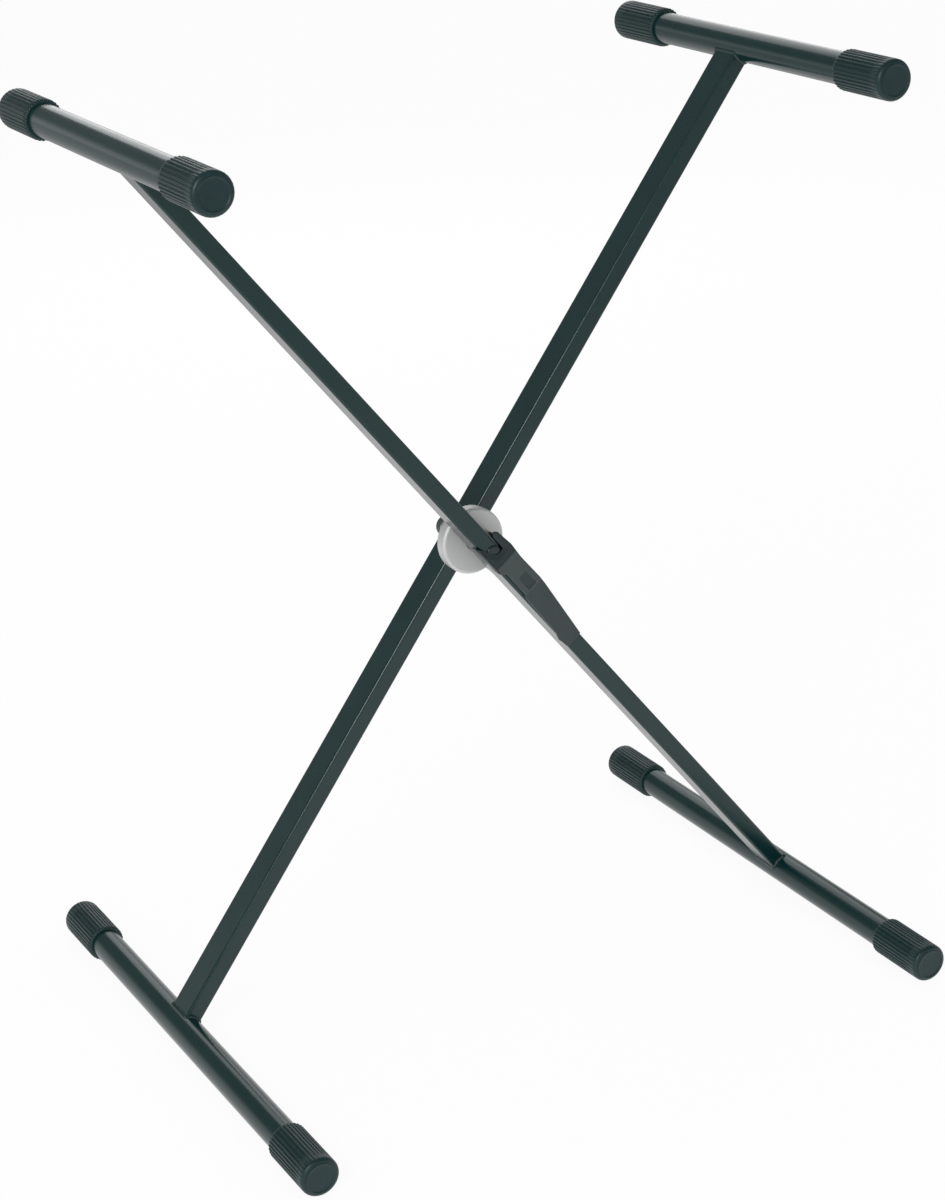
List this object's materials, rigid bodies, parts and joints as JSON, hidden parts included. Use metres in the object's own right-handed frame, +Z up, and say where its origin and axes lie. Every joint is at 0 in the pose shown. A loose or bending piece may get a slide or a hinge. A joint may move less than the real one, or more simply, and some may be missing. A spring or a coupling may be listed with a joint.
{
  "type": "folding keyboard stand",
  "caption": "Folding X-frame keyboard stand: crossed rectangular legs on a disc-clamped pivot with a release lever, round rest and foot bars with ribbed rubber caps.",
  "frame": {"origin": "on the floor, midway between the feet, below the pivot", "axes": "+Z up; +Y from the front leg to the rear leg, along the bars; +X to the right as seen from the front"},
  "size_m": [0.65, 0.526, 0.8273],
  "materials": {
    "black_paint": "satin black stoved paint on steel tube",
    "black_rubber": "matt moulded rubber",
    "zinc_plate": "dull zinc-plated pressed steel",
    "steel": "bright zinc-plated steel",
    "black_steel": "blackened steel",
    "nylon": "black nylon",
    "black_plastic": "satin moulded plastic, light grain"
  },
  "bodies": {
    "front_frame": {"front_leg_tube": "black_paint", "front_rest_bar": "black_paint", "front_foot_bar": "black_paint", "front_rest_weld": "black_paint", "front_foot_weld": "black_paint", "front_rest_cap_near": "black_rubber", "front_rest_cap_far": "black_rubber", "front_foot_cap_near": "black_rubber", "front_foot_cap_far": "black_rubber", "crush_sleeve": "steel", "pivot_bolt": "black_steel", "pivot_spacer": "nylon", "rear_washer": "steel", "lock_nut": "steel", "nut_cover": "black_plastic", "lever_pin": "steel", "lever_spring": "steel"},
    "rear_frame": {"rear_leg_tube": "black_paint", "rear_rest_bar": "black_paint", "rear_foot_bar": "black_paint", "rear_rest_weld": "black_paint", "rear_foot_weld": "black_paint", "rear_rest_cap_near": "black_rubber", "rear_rest_cap_far": "black_rubber", "rear_foot_cap_near": "black_rubber", "rear_foot_cap_far": "black_rubber", "pivot_bearing": "steel", "disc_hub": "zinc_plate", "clamp_disc": "zinc_plate"},
    "lever": {"clamp_lever": "black_plastic", "clamp_cam": "steel", "cam_screws": "steel"}
  },
  "joints": [
    {"name": "fold", "type": "hinge", "parent": "front_frame", "child": "rear_frame", "pos_m": [0, 0, 0.41681], "axis": [0, -1, 0], "range_deg": [-36, 71]},
    {"name": "lever_pull", "type": "hinge", "parent": "front_frame", "child": "lever", "pos_m": [0.02807, 0, 0.38037], "axis": [0, -1, 0], "range_deg": [0, 7.5], "stiffness_Nm_per_rad": 4, "springref_deg": -8.59, "deforming": ["lever_spring"]}
  ]
}
